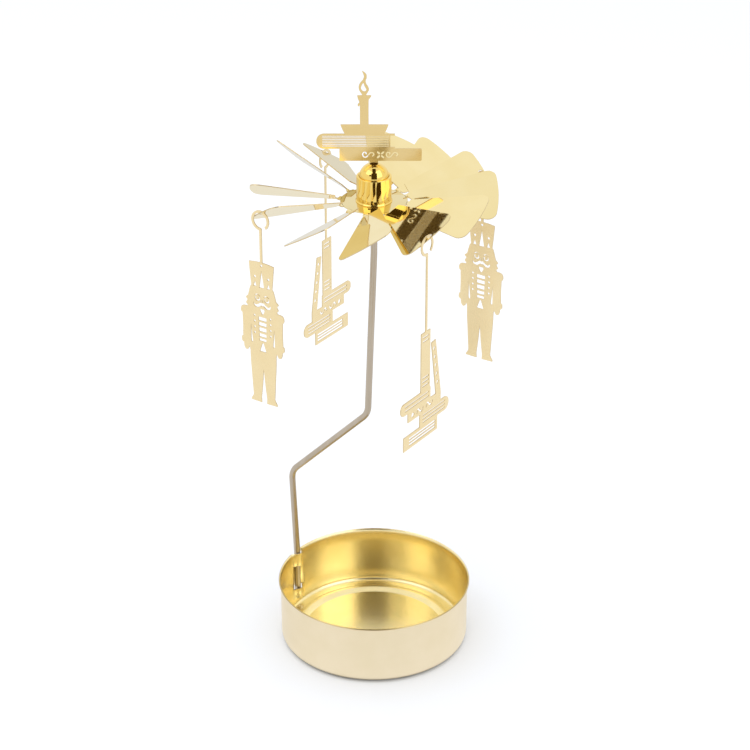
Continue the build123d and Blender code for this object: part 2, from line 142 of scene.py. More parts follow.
def plated(name, tone, deep, gloss, gloss_spread, grain, wave, wave_size, stretch=(1, 1, 1)):
    """A plated metal: tone and deep are its two colours, gloss its roughness."""
    material, tree = new_material(name)
    shader = tree.nodes["Principled BSDF"]
    shader.inputs["Metallic"].default_value = 1.0
    place = step(tree, "ShaderNodeTexCoord").outputs["Object"]
    scale = step(tree, "ShaderNodeMapping", (place, "Vector"), ([1000 * s for s in stretch], "Scale"))

    def clouds(size, detail):
        return step(
            tree, "ShaderNodeTexNoise", (scale.outputs["Vector"], "Vector"),
            (1 / size, "Scale"), (detail, "Detail"),
        ).outputs["Fac"]

    patches = step(tree, "ShaderNodeValToRGB", (clouds(patch_size, 3), "Fac"))
    first, last = patches.color_ramp.elements
    first.position, last.position = patch_start, patch_end
    first.color, last.color = (*deep, 1), (*tone, 1)
    tree.links.new(patches.outputs["Color"], shader.inputs["Base Color"])

    fine = clouds(grain_size, 2)
    rough = step(
        tree, "ShaderNodeMapRange", (fine, "Value"),
        (gloss - gloss_spread, "To Min"), (gloss + gloss_spread, "To Max"),
    )
    tree.links.new(rough.outputs["Result"], shader.inputs["Roughness"])

    ripple = step(
        tree, "ShaderNodeBump", (clouds(wave_size, 1), "Height"), (1.0, "Strength"), (wave * MM, "Distance")
    )
    speckle = step(
        tree, "ShaderNodeBump", (fine, "Height"), (1.0, "Strength"), (grain * MM, "Distance"),
        (ripple.outputs["Normal"], "Normal"),
    )
    tree.links.new(speckle.outputs["Normal"], shader.inputs["Normal"])
    return material


print("plated metal: patches of", patch_size, "mm and a grain of", grain_size, "mm")

# %% The finishes
cup_outside = plated(
    "cup_outside_satin", (0.92, 0.80, 0.58), (0.89, 0.77, 0.54),
    gloss=0.36, gloss_spread=0.05, grain=0.004, wave=0.02, wave_size=14,
)
cup_inside = plated(
    "cup_inside_satin", (0.96, 0.835, 0.48), (0.93, 0.795, 0.43),
    gloss=0.25, gloss_spread=0.05, grain=0.012, wave=0.02, wave_size=14,
)
wire_metal = plated(
    "drawn_wire", (0.57, 0.50, 0.41), (0.51, 0.44, 0.35),
    gloss=0.34, gloss_spread=0.08, grain=0.004, wave=0.01, wave_size=5, stretch=(3, 3, 0.3),
)
fan_metal = plated(
    "fan_mirror", (0.94, 0.80, 0.44), (0.92, 0.77, 0.40),
    gloss=0.05, gloss_spread=0.02, grain=0.0, wave=0.012, wave_size=12,
)
hub_metal = plated(
    "hub_mirror", (0.93, 0.68, 0.20), (0.90, 0.64, 0.17),
    gloss=0.05, gloss_spread=0.02, grain=0.0, wave=0.001, wave_size=4,
)
topper_metal = plated(
    "topper_sheet", (0.82, 0.63, 0.30), (0.79, 0.60, 0.27),
    gloss=0.13, gloss_spread=0.03, grain=0.001, wave=0.012, wave_size=12,
)
pendant_metal = plated(
    "pendant_sheet", (0.96, 0.80, 0.49), (0.94, 0.77, 0.455),
    gloss=0.28, gloss_spread=0.04, grain=0.001, wave=0.012, wave_size=12,
)
# The cup's cut edges, at the rim and along the slits, are duller, and their colour is far darker than the
# cup's: a painted dark line that stands in for the dark reflection along the back rim.
rim_painted_dark = plated(
    "cup_edge_with_painted_dark_line", (0.62, 0.48, 0.22), (0.52, 0.39, 0.17),
    gloss=0.30, gloss_spread=0.05, grain=0.004, wave=0.0, wave_size=12,
)
edge_metal = plated(
    "cut_edge", (0.80, 0.65, 0.38), (0.70, 0.56, 0.31),
    gloss=0.45, gloss_spread=0.06, grain=0.004, wave=0.0, wave_size=12,
)


def vary(material, attribute, least):
    """Dims a finish by an attribute of its mesh, from least at 0 to full at 1."""
    tree = material.node_tree
    share = step(tree, "ShaderNodeAttribute", attribute_name=attribute)
    level = step(tree, "ShaderNodeMapRange", (share.outputs["Fac"], "Value"), (least, "To Min"))
    colour = tree.nodes["Principled BSDF"].inputs["Base Color"]
    dim = step(
        tree, "ShaderNodeVectorMath", (colour.links[0].from_socket, 0), (level.outputs["Result"], "Scale"),
        operation="SCALE",
    )
    tree.links.new(dim.outputs["Vector"], colour)


vary(fan_metal, "blade_tone", 0.86)
print("finishes:", [m.name for m in bpy.data.materials])


# %% [markdown]
# The cup is drawn from one round blank: a flat foot pressed down in the floor, a small radius up
# into the wall and a rim flared by a punch, which curls out at its edge. The wall has been slit
# twice and pushed in, out and in again, so that three little loops hold the mast's foot.
# The middle surface of the sheet is built as a grid of rings and columns. In the columns at the
# mast each band of the wall follows its own loop, which leaves the slits open, and the sheet's
# thickness is added afterwards.

# %% Cup profile
def soften(corners, steps=5):
    """Rounds a line of (x, y, radius) corners; a radius of 0 keeps the corner."""
    line = []
    for i, (x, y, radius) in enumerate(corners):
        here = Vector((x, y))
        if not radius:
            line.append(here)
            continue
        before = (Vector(corners[i - 1][:2]) - here).normalized()
        after = (Vector(corners[(i + 1) % len(corners)][:2]) - here).normalized()
        half = before.angle(after) / 2
        middle = here + (before + after).normalized() * radius / math.sin(half)
        start = here + before * radius / math.tan(half) - middle
        end = here + after * radius / math.tan(half) - middle
        sweep = math.atan2(start.x * end.y - start.y * end.x, start.dot(end))
        for k in range(steps + 1):
            line.append(middle + Matrix.Rotation(sweep * k / steps, 2) @ start)
    return line


cup_wall, cup_top = 29.2, 20.0
cup_sheet = 0.4
cup_half = cup_sheet / 2
loop_low, slit_low, slit_high = 3.3, 6.8, 15.5
rim_curl = [(0, 16.8), (0.03, 17.2), (0.14, 18.2), (0.3, 19.1), (0.42, 19.5), (0.6, 19.85), (0.74, cup_top)]

cup_profile = soften([
    (0, cup_half, 0), (22.3, cup_half, 0.3), (22.8, 0.45, 0.4), (24.5, 1.2, 1.2), (25.8, 0.65, 1.0),
    (cup_wall, 0.45, 1.8), (cup_wall, loop_low, 0), (cup_wall, slit_low, 0), (cup_wall, slit_high, 0),
] + [(cup_wall + out, height, 0) for out, height in rim_curl], 7)
cup_profile[1:1] = [Vector((radius, cup_half)) for radius in (8.0, 16.0, 20.0)]
print("cup profile:", len(cup_profile), "points, from the middle of the floor to the rim")

# %% Loops in the wall
loop_bend, loop_blend = 1.6, 2.6
loop_reach = math.sqrt((loop_bend + loop_blend) ** 2 - loop_blend ** 2)
loop_bands = [(loop_low, slit_low, 1), (slit_low, slit_high, -1), (slit_high, cup_top, 1)]
wall_start = 28

# Half of a loop's plan line, as (along the wall, push inward): a blend out of the wall, then the crown
loop_line = []
touch = math.acos(loop_blend / (loop_bend + loop_blend))
for i in range(7):
    turn = -math.pi / 2 + touch * i / 6
    loop_line.append((-loop_reach + loop_blend * math.cos(turn), loop_blend + loop_blend * math.sin(turn)))
crown = math.pi - math.asin(loop_blend / (loop_bend + loop_blend))
for i in range(1, 13):
    turn = crown + (math.pi / 2 - crown) * i / 12
    loop_line.append((loop_bend * math.cos(turn), loop_bend * math.sin(turn)))
loop_line += [(-along, push) for along, push in reversed(loop_line[:-1])]

loop_half_turn = math.asin(loop_reach / cup_wall)
plain_count = 180
plain_turns = [
    math.pi + loop_half_turn + (2 * math.pi - 2 * loop_half_turn) * i / plain_count
    for i in range(1, plain_count)
]


def cup_point(column, spot, push_side):
    """Where a column of the cup meets a point of its profile."""
    if column >= len(loop_line):
        turn = plain_turns[column - len(loop_line)]
    elif spot.x < wall_start:
        turn = math.pi + loop_half_turn * (2 * column / (len(loop_line) - 1) - 1)
    elif not push_side:
        turn = math.pi + math.asin(loop_line[column][0] / cup_wall)
    else:
        along, push = loop_line[column]
        flare = (spot.x - cup_wall) * (1 - min(1, push / loop_bend))
        return (push * push_side - math.sqrt(cup_wall ** 2 - along ** 2) - flare, -along, spot.y)
    return (spot.x * math.cos(turn), spot.x * math.sin(turn), spot.y)


print("the loops are", round(2 * loop_reach, 2), "mm wide")

# %% Pressed cup
pressed_fold = math.radians(40)
cup_points = []
cup_faces = []
columns = len(loop_line) + len(plain_turns)
for lower, upper in zip(cup_profile, cup_profile[1:]):
    middle = (lower.y + upper.y) / 2
    side = 0
    if lower.x > wall_start:
        side = sum(s for low, high, s in loop_bands if low < middle < high)
    first = len(cup_points)
    for column in range(columns):
        cup_points += [cup_point(column, lower, side), cup_point(column, upper, side)]
    for column in range(columns):
        a, b = first + 2 * column, first + 2 * ((column + 1) % columns)
        cup_faces.append([a, b, b + 1, a + 1] if lower.x > 0 else [a, b + 1, a + 1])

cup_blank = link("cup_blank", mesh_from("cup_blank", cup_points, cup_faces))
for finish in (cup_outside, cup_inside, rim_painted_dark):
    cup_blank.data.materials.append(finish)
gauge = cup_blank.modifiers.new("gauge", "SOLIDIFY")
gauge.thickness = cup_sheet * MM
gauge.offset = 0
gauge.use_even_offset = True
gauge.material_offset = 1
# The cut edges take the rim finish, with its painted dark line.
gauge.material_offset_rim = 2
edge = cup_blank.modifiers.new("edge", "BEVEL")
edge.width = 0.06 * MM
edge.segments = 2
edge.limit_method = "ANGLE"
edge.angle_limit = math.radians(50)
cup_mesh = settle(cup_blank)
smooth(cup_mesh, pressed_fold)
add_piece("pressed_cup", cup_mesh, [cup_outside], "stand", "satin_gold", "tealight_cup")


# %% [markdown]
# The mast is one length of drawn wire, bent twice over a former and ground to a needle at the top.
# A path with rounded corners and a round section is just what a node tree can do: the corners of
# the path are the input, the tree fillets them, sweeps the wire along and thins it to the needle.

# %% Node trees for shapes
def new_tree(name, inputs):
    """A tree for shapes with named inputs, each a name, a kind and the value it starts with."""
    tree = bpy.data.node_groups.new(name, "GeometryNodeTree")
    tree.interface.new_socket("Geometry", in_out="INPUT", socket_type="NodeSocketGeometry")
    tree.interface.new_socket("Geometry", in_out="OUTPUT", socket_type="NodeSocketGeometry")
    for label, kind, value in inputs:
        socket = tree.interface.new_socket(label, in_out="INPUT", socket_type="NodeSocket" + kind)
        if value is not None:
            socket.default_value = value
    return tree, tree.nodes.new("NodeGroupInput"), tree.nodes.new("NodeGroupOutput")


def maths(tree, operation, *values):
    return step(
        tree, "ShaderNodeMath", *[(v, i) for i, v in enumerate(values)], operation=operation
    ).outputs[0]


def painted(tree, shape, metal, chosen=True):
    """Gives the chosen faces of a shape a metal."""
    return step(
        tree, "GeometryNodeSetMaterial", (shape, "Geometry"), (chosen, "Selection"), (metal, "Material")
    ).outputs["Geometry"]


def run_tree(thing, tree, values):
    """Runs a tree on an object; its inputs are set by name before it is first evaluated."""
    modifier = thing.modifiers.new(tree.name, "NODES")
    modifier.node_group = tree
    for item in tree.interface.items_tree:
        if item.item_type == "SOCKET" and item.in_out == "INPUT" and item.name in values:
            modifier[item.identifier] = values[item.name]
    return settle(thing)


mast, mast_in, mast_out = new_tree("bent_wire", [
    ("Wire radius", "Float", 0.001), ("Bend radius", "Float", 0.006), ("Needle length", "Float", 0.002),
    ("Needle point", "Float", 0.15), ("Metal", "Material", None),
])
print("mast tree inputs:", [socket.name for socket in mast_in.outputs if socket.name])

# %% Wire mast
line = step(mast, "GeometryNodeMeshToCurve", (mast_in.outputs["Geometry"], "Mesh"))
bent = step(
    mast, "GeometryNodeFilletCurve", (line.outputs["Curve"], "Curve"),
    (mast_in.outputs["Bend radius"], "Radius"), (14, "Count"), mode="POLY",
)
far = step(mast, "GeometryNodeSplineParameter")
whole = step(mast, "GeometryNodeSplineLength")
left = maths(mast, "SUBTRACT", whole.outputs["Length"], far.outputs["Length"])
thin = step(
    mast, "ShaderNodeMapRange", (left, "Value"),
    (mast_in.outputs["Needle length"], "From Max"), (mast_in.outputs["Needle point"], "To Min"),
)
wire_size = maths(mast, "MULTIPLY", thin.outputs["Result"], mast_in.outputs["Wire radius"])
ring = step(mast, "GeometryNodeCurvePrimitiveCircle", (40, "Resolution"), (1.0, "Radius"))
wire = step(
    mast, "GeometryNodeCurveToMesh", (bent.outputs["Curve"], "Curve"),
    (ring.outputs["Curve"], "Profile Curve"), (wire_size, "Scale"), (True, "Fill Caps"),
)
solid = step(mast, "GeometryNodeRealizeInstances", (wire.outputs["Mesh"], "Geometry"))
mast.links.new(
    painted(mast, solid.outputs["Geometry"], mast_in.outputs["Metal"]), mast_out.inputs["Geometry"]
)

needle_base, needle_tip = 153.3, 155.3
mast_path = [
    (-29.2, 0, 3.55), (-29.2, 0, 20), (-30.6, 0, 49.5), (-2.2, 0, 78), (0, 0, 132),
    (0, 0, needle_base), (0, 0, needle_tip),
]
path_mesh = bpy.data.meshes.new("mast_path")
path_mesh.from_pydata(
    [Vector(p) * MM for p in mast_path], [(i, i + 1) for i in range(len(mast_path) - 1)], []
)
mast_mesh = run_tree(link("mast_path", path_mesh), mast, {"Metal": wire_metal})
smooth(mast_mesh, pressed_fold)
add_piece("bent_wire_mast", mast_mesh, [wire_metal], "stand", "nickel_wire", "wire_mast")


# %% [markdown]
# The flat parts are etched or blanked from sheet. Their outlines are drawn as overlapping shapes,
# with the openings cut out of them, as on a drawing for an etcher. A flat triangulation sorts out
# what is metal and what is opening, and the sheet gets its thickness.

# %% Shapes for a drawing
tiny = 1e-6


def disc(x, y, radius, sides=28):
    turns = [2 * math.pi * i / sides for i in range(sides)]
    return [(x + radius * math.cos(a), y + radius * math.sin(a)) for a in turns]


def bar(left, low, right, high):
    return [(left, low), (right, low), (right, high), (left, high)]


def rounded(corners, steps=5):
    return [tuple(p) for p in soften(corners, steps)]


def flow(points, steps=5, closed=True):
    """A smooth line through points."""
    count = len(points)
    line = []
    for i in range(count if closed else count - 1):
        if closed:
            p0, p1, p2, p3 = (Vector(points[(i + k) % count]) for k in (-1, 0, 1, 2))
        else:
            p0, p1, p2, p3 = (Vector(points[min(max(i + k, 0), count - 1)]) for k in (-1, 0, 1, 2))
        for k in range(steps):
            t = k / steps
            line.append(0.5 * (2 * p1 + (p2 - p0) * t + (2 * p0 - 5 * p1 + 4 * p2 - p3) * t * t
                               + (3 * p1 - p0 - 3 * p2 + p3) * t ** 3))
    if not closed:
        line.append(Vector(points[-1]))
    return [tuple(p) for p in line]


def stroke(points, width):
    """The outline of a pen stroke of one width along a smooth line, with round ends."""
    line = [Vector(p) for p in flow(points, 5, closed=False)]
    left, right = [], []
    for i, p in enumerate(line):
        along = (line[min(i + 1, len(line) - 1)] - line[max(i - 1, 0)]).normalized()
        across = Vector((-along.y, along.x)) * width / 2
        left.append(p + across)
        right.append(p - across)
    ends = []
    for p, q in ((line[-1], line[-2]), (line[0], line[1])):
        out = (p - q).normalized()
        turns = [Matrix.Rotation(math.radians(a), 2) for a in (60, 30, 0, -30, -60)]
        ends.append([p + turn @ out * width / 2 for turn in turns])
    return [tuple(p) for p in left + ends[0] + right[::-1] + ends[1]]


def moved(shape, x, y):
    return [(x + px, y + py) for px, py in shape]


def mirrored(half):
    """A closed outline from its right half, drawn from top to bottom."""
    return half + [(-x, y) for x, y in reversed(half) if abs(x) > tiny]


print("a round hole is drawn with", len(disc(0, 0, 1)), "points")

# %% Sheet from a drawing
drawing_tolerance = 1e-5


def sheet_shape(solids, cuts, gauge):
    """Points, flat faces and cut edges of a sheet made of solid shapes with cuts, in its own plane."""
    points, faces = [], []
    for shape in solids + cuts:
        area = sum(a[0] * b[1] - a[1] * b[0] for a, b in zip(shape, shape[1:] + shape[:1]))
        shape = shape if area > 0 else shape[::-1]
        faces.append(list(range(len(points), len(points) + len(shape))))
        points += [Vector(p) for p in shape]
    flat, _, triangles, _, _, origin = delaunay_2d_cdt(points, [], faces, 1, drawing_tolerance)
    kept = [
        tri for tri, source in zip(triangles, origin)
        if any(s < len(solids) for s in source) and not any(s >= len(solids) for s in source)
    ]
    count = len(flat)
    places = [(p.x, p.y, gauge / 2) for p in flat] + [(p.x, p.y, -gauge / 2) for p in flat]
    caps, used = [], set()
    for tri in kept:
        caps += [list(tri), [i + count for i in reversed(tri)]]
        used.update(zip(tri, tri[1:] + tri[:1]))
    rims = [[b, a, a + count, b + count] for a, b in used if (b, a) not in used]
    return places, caps, rims


def etched(name, solids, cuts, gauge, place=None):
    """The mesh of a sheet, without the points that no face uses."""
    mesh = mesh_from(name, *sheet_shape(solids, cuts, gauge), place=place)
    build = bmesh.new()
    build.from_mesh(mesh)
    bmesh.ops.delete(build, geom=[v for v in build.verts if not v.link_faces], context="VERTS")
    build.to_mesh(mesh)
    build.free()
    return mesh


_, plate_faces, plate_edges = sheet_shape([bar(-3, -3, 3, 3)], [disc(0, 0, 1)], 0.3)
print("a plate with one hole:", len(plate_faces), "flat faces,", len(plate_edges), "cut edges")


# %% [markdown]
# The fan wheel is one blanked sheet: a disc with twelve blades on narrow necks, each blade turned
# by hand or by a tool about its neck, so that rising warm air pushes it round. Thin necks give way
# when the wheel is handled, so most of the plain blades have a little bend of their own.
# Two flat blades are drawn, a plain one and one with a hook hole, and every point of them knows how
# far up the neck it is.

# %% Flat blades
fan_sheet = 0.3
disc_low, disc_high = 148.4, 148.7
blade_middle, blade_half = 8, 14.7
blade_low = math.radians(blade_middle - blade_half)
blade_high = math.radians(blade_middle + blade_half)
blade_root, root_round, tip_round = 11.6, 0.3, 2.6
neck_start, neck_end, neck_half = 10.2, 11.3, 1.2
neck_foot, neck_clear, neck_head = 9.6, 9.9, 11.9
plain_reach, hook_reach = 36.2, 36.38
hook_hole, hook_hole_radius = 35.2, 0.9


def blade_outline(reach):
    turns = [blade_low + (blade_high - blade_low) * i / 24 for i in range(25)]
    tip = [reach * Vector((math.cos(a), math.sin(a))) for a in turns]
    low_root, high_root = (
        (blade_root * math.cos(a), blade_root * math.sin(a), root_round) for a in (blade_low, blade_high)
    )
    arc = [(p.x, p.y, 0) for p in tip[3:-3]]
    return rounded([low_root, (*tip[0], tip_round), *arc, (*tip[-1], tip_round), high_root], 8)


def flat_blade(name, reach, holes):
    neck = [neck_start + (neck_end - neck_start) * i / 8 for i in range(1, 9)]
    slices = [neck_foot, neck_clear, neck_start] + neck + [neck_head]
    necks = [bar(a, -neck_half, b, neck_half) for a, b in zip(slices, slices[1:])]
    mesh = etched(name, [blade_outline(reach)] + necks, holes, fan_sheet)
    cut = mesh.attributes.new("cut_edge", "FLOAT", "FACE")
    for face, value in zip(mesh.polygons, cut.data):
        value.value = face.material_index
    share = mesh.attributes.new("neck_share", "FLOAT", "POINT")
    for vertex, value in zip(mesh.vertices, share.data):
        x, y = vertex.co.x / MM, vertex.co.y / MM
        t = min(1, max(0, (x - neck_start) / (neck_end - neck_start)))
        value.value = t * t * (3 - 2 * t) if abs(y) < neck_half + 0.01 and x < neck_end + 0.01 else 1
    return link(name, mesh)


hook_turn = math.radians(blade_middle)
hook_spot = (hook_hole * math.cos(hook_turn), hook_hole * math.sin(hook_turn))
plain_blade = flat_blade("plain_blade", plain_reach, [])
hook_blade = flat_blade("hook_blade", hook_reach, [disc(*hook_spot, hook_hole_radius, 32)])
print("flat blades of", len(plain_blade.data.polygons), "and", len(hook_blade.data.polygons), "faces")

# %% Disc and blade seats
def round_body(name, profile, turns=144):
    """Turns a closed profile of (radius, height) about the upright axis."""
    points, faces = [], []
    count = len(profile)
    for i in range(turns):
        angle = 2 * math.pi * i / turns
        points += [(p.x * math.cos(angle), p.x * math.sin(angle), p.y) for p in profile]
    for i in range(turns):
        j = (i + 1) % turns
        for k in range(count):
            m = (k + 1) % count
            loop = [i * count + k, j * count + k, j * count + m, i * count + m]
            if profile[k].x < tiny and profile[m].x < tiny:
                continue
            if profile[k].x < tiny:
                loop = [loop[0], loop[2], loop[3]]
            elif profile[m].x < tiny:
                loop = [loop[0], loop[1], loop[2]]
            faces.append(loop)
    return mesh_from(name, points, faces)


disc_bore, disc_radius, disc_round = 4.95, 9.8, 0.08
fan_disc = link("fan_disc", round_body("fan_disc", soften([
    (disc_bore, disc_low, 0), (disc_radius, disc_low, disc_round), (disc_radius, disc_high, disc_round),
    (disc_bore, disc_high, 0),
], 3)))

# Degrees of extra pitch, lift and turn in the bent blades; blades 2, 5, 8 and 11 carry the pendants
blade_count = 12
blade_bends = {
    0: (-6, 2.5, -0.5), 1: (0, 1, 0), 3: (0, 1.5, -2.5), 4: (-8, 11, -6),
    6: (10, 9.5, -6), 9: (-1.5, -4, 0), 10: (0, -4, 0),
}
seat_mesh = bpy.data.meshes.new("blade_seats")
seat_mesh.from_pydata([(0, 0, 0)] * blade_count, [], [])
for place, name in enumerate(("more_pitch", "lift", "seat_turn")):
    column = seat_mesh.attributes.new(name, "FLOAT", "POINT")
    for i, value in enumerate(column.data):
        share_of_wheel = 360 * i / blade_count if name == "seat_turn" else 0
        value.value = math.radians(share_of_wheel + blade_bends.get(i, (0, 0, 0))[place])
blade_seats = link("blade_seats", seat_mesh)
print(len(blade_bends), "of", blade_count, "blades have a bend of their own")

# %% [markdown]
# The tree sets a flat blade on each of twelve seats round the disc and takes the one with a hook
# hole for every third. It then turns each point about its blade's neck by its share of the pitch
# and lifts it by its share of that blade's own bend. Each blade gets a tone of its own, since no two
# catch the plating alike, and the cut edges get their duller finish.

# %% Fan tree: blades on their seats
fan, fan_in, fan_out = new_tree("twisted_fan", [
    ("Pitch", "Float", math.radians(32)), ("Turn", "Float", math.radians(-9)),
    ("Level", "Float", (disc_low + disc_high) / 2 * MM), ("Neck", "Float", (neck_start + neck_end) / 2 * MM),
    ("Seats", "Object", None), ("Hook blade", "Object", None), ("Disc", "Object", None),
    ("Metal", "Material", None), ("Edge metal", "Material", None),
])


def stored(name):
    """A value that the mesh carries under a name."""
    node = step(fan, "GeometryNodeInputNamedAttribute", (name, "Name"), data_type="FLOAT")
    return node.outputs["Attribute"]


def object_shape(name):
    return step(fan, "GeometryNodeObjectInfo", (fan_in.outputs[name], "Object")).outputs["Geometry"]


seats = step(fan, "GeometryNodeMeshToPoints", (object_shape("Seats"), "Mesh"))
number = step(fan, "GeometryNodeInputIndex").outputs["Index"]
is_hook = maths(fan, "COMPARE", maths(fan, "MODULO", number, 3.0), 2.0, 0.5)
is_plain = maths(fan, "SUBTRACT", 1.0, is_hook)
whole_turn = maths(fan, "ADD", stored("seat_turn"), fan_in.outputs["Turn"])
seat_spin = step(fan, "ShaderNodeCombineXYZ", (whole_turn, "Z"))
chance = step(fan, "FunctionNodeRandomValue", (number, "ID"), (3, "Seed"), data_type="FLOAT")
toned = step(
    fan, "GeometryNodeStoreNamedAttribute", (seats.outputs["Points"], "Geometry"), ("blade_tone", "Name"),
    (next(o for o in chance.outputs if o.type == "VALUE"), "Value"), data_type="FLOAT", domain="POINT",
)
flat_blades = step(fan, "GeometryNodeJoinGeometry")
for chosen, shape in ((is_plain, fan_in.outputs["Geometry"]), (is_hook, object_shape("Hook blade"))):
    ring_of_blades = step(
        fan, "GeometryNodeInstanceOnPoints", (toned.outputs["Geometry"], "Points"), (chosen, "Selection"),
        (shape, "Instance"), (seat_spin.outputs["Vector"], "Rotation"),
    )
    fan.links.new(ring_of_blades.outputs["Instances"], flat_blades.inputs["Geometry"])
loose_blades = step(fan, "GeometryNodeRealizeInstances", (flat_blades.outputs["Geometry"], "Geometry"))
print("fan tree inputs:", [socket.name for socket in fan_in.outputs if socket.name])

# %% Fan tree: twist and bend
cosine, sine = maths(fan, "COSINE", whole_turn), maths(fan, "SINE", whole_turn)
along_neck = step(fan, "ShaderNodeCombineXYZ", (cosine, "X"), (sine, "Y")).outputs["Vector"]
across_neck = step(fan, "ShaderNodeCombineXYZ", (sine, "X"), (maths(fan, "MULTIPLY", cosine, -1.0), "Y"))
neck_spot = step(
    fan, "ShaderNodeVectorMath", (along_neck, 0), (fan_in.outputs["Neck"], "Scale"), operation="SCALE"
)
whole_pitch = maths(fan, "ADD", stored("more_pitch"), fan_in.outputs["Pitch"])
twisted = step(
    fan, "ShaderNodeVectorRotate", (step(fan, "GeometryNodeInputPosition").outputs["Position"], "Vector"),
    (along_neck, "Axis"), (maths(fan, "MULTIPLY", stored("neck_share"), whole_pitch), "Angle"),
    rotation_type="AXIS_ANGLE",
)
bent_up = step(
    fan, "ShaderNodeVectorRotate", (twisted.outputs["Vector"], "Vector"),
    (neck_spot.outputs["Vector"], "Center"), (across_neck.outputs["Vector"], "Axis"),
    (maths(fan, "MULTIPLY", stored("neck_share"), stored("lift")), "Angle"), rotation_type="AXIS_ANGLE",
)
up_to_disc = step(fan, "ShaderNodeCombineXYZ", (fan_in.outputs["Level"], "Z"))
set_blades = step(
    fan, "GeometryNodeSetPosition", (loose_blades.outputs["Geometry"], "Geometry"),
    (bent_up.outputs["Vector"], "Position"), (up_to_disc.outputs["Vector"], "Offset"),
)
joined = step(fan, "GeometryNodeJoinGeometry")
for part in (object_shape("Disc"), set_blades.outputs["Geometry"]):
    fan.links.new(part, joined.inputs["Geometry"])
solid = step(fan, "GeometryNodeRealizeInstances", (joined.outputs["Geometry"], "Geometry"))
plain_fan = painted(fan, solid.outputs["Geometry"], fan_in.outputs["Metal"])
trimmed_fan = painted(fan, plain_fan, fan_in.outputs["Edge metal"], stored("cut_edge"))
fan.links.new(trimmed_fan, fan_out.inputs["Geometry"])

fan_mesh = run_tree(plain_blade, fan, {
    "Seats": blade_seats, "Hook blade": hook_blade, "Disc": fan_disc,
    "Metal": fan_metal, "Edge metal": edge_metal,
})
for helper in (blade_seats, hook_blade, fan_disc):
    bpy.data.objects.remove(helper)
add_piece("heat_fan", fan_mesh, [fan_metal], "rotor", "mirror_gold", "fan_wheel")


# %% [markdown]
# The hub is turned and polished: a sleeve with a flared foot, riveted through the disc, and a round
# cap with a sawn slot for the topper. Both are turned from a profile, the sleeve's with softened
# edges, and the slot is cut with a thin block. The bearing plug inside the cap stays as the CAD has
# it and gets the hub's finish.

# %% Hub
sleeve_top, sleeve_bore = 156.5, 4.4
sleeve_mesh = round_body("hub_sleeve", soften([
    (sleeve_bore, 148.0, 0.1), (5.7, 148.0, 0.18), (5.7, disc_low, 0.1), (4.9, disc_low, 0),
    (4.9, disc_high, 0), (5.35, disc_high, 0.1), (5.35, 148.95, 0.12), (5.1, 149.2, 0.25),
    (5.1, sleeve_top, 0.22), (sleeve_bore, sleeve_top, 0.1),
], 5))
add_piece("turned_sleeve", sleeve_mesh, [hub_metal], "rotor", "hub_gold", "hub_sleeve")

cap_radius, cap_level = 4.35, 156.0
cap_profile = [Vector((0, cap_level)), Vector((cap_radius, cap_level))]
cap_profile += [
    Vector((cap_radius * math.cos(a), cap_level + cap_radius * math.sin(a)))
    for a in [math.pi / 2 * i / 36 for i in range(1, 36)]
]
cap_profile.append(Vector((0, cap_level + cap_radius)))
cap = link("cap", round_body("cap", cap_profile))

topper_place = Matrix.Rotation(math.radians(32), 4, "Z") @ Matrix.Rotation(math.pi / 2, 4, "X")
slot_outline = bar(-1.25, cap_level - 1, 1.25, cap_level + 5)
slot_block = link("slot_block", etched("slot_block", [slot_outline], [], 0.4, topper_place))
slot_cut = cap.modifiers.new("slot", "BOOLEAN")
slot_cut.operation = "DIFFERENCE"
slot_cut.solver = "EXACT"
slot_cut.object = slot_block
cap_mesh = settle(cap)
bpy.data.objects.remove(slot_block)
cap_mesh.set_sharp_from_angle(angle=sharp_fold)
add_piece("round_cap", cap_mesh, [hub_metal], "rotor", "hub_gold", "hub_dome")
frame["nodes"]["pivot_cup"].data.materials.clear()
frame["nodes"]["pivot_cup"].data.materials.append(hub_metal)


# %% [markdown]
# The topper is one etched sheet that stands in the cap's slot: a scrolled bar, a lying book with its
# leaves cut as slits, a dish and a candle with a curling flame. Each is drawn as a shape of its own,
# from the tab upward, and overlaps the one below it.

# %% Topper outline
figure_sheet = 0.3
bar_low, book_low, dish_low, candle_low, flame_low = 161.0, 164.7, 169.3, 172.1, 180.9
candle_x, bar_x = -2.75, 1.9

tab = bar(-1.2, 155.5, 1.2, bar_low + 0.2)
scrolled_bar = rounded([
    (-9.9, bar_low, 0.3), (13.7, bar_low, 0.4), (13.7, book_low + 0.1, 0.4), (-9.9, book_low + 0.1, 0.3)
])
lying_book = rounded([
    (6.0, book_low, 0), (6.0, book_low + 0.55, 0.1), (4.7, book_low + 0.55, 0), (4.7, dish_low - 0.55, 0),
    (6.0, dish_low - 0.55, 0.1), (6.0, dish_low, 0), (-16.5, dish_low, 2.2), (-16.5, book_low, 2.2),
], 12)
dish = flow([(-8.3, dish_low - 0.1), (-8.9, dish_low + 1.0), (-9.5, candle_low - 0.3)], 4, False)
dish += [(-9.5, candle_low), (4.1, candle_low)]
dish += flow([(4.1, candle_low - 0.3), (3.5, dish_low + 1.0), (2.9, dish_low - 0.1)], 4, False)
candle = flow([(1.25, -9.0), (1.25, -1.9), (1.5, -1.0), (1.95, -0.35), (1.95, -0.02)], 5, False)
candle += flow([
    (-1.95, -0.02), (-1.95, -0.4), (-1.7, -1.3), (-1.45, -1.9), (-1.5, -2.3), (-1.85, -2.75),
    (-1.8, -3.2), (-1.45, -3.3), (-1.27, -2.95), (-1.25, -4.0), (-1.25, -9.0),
], 5, False)
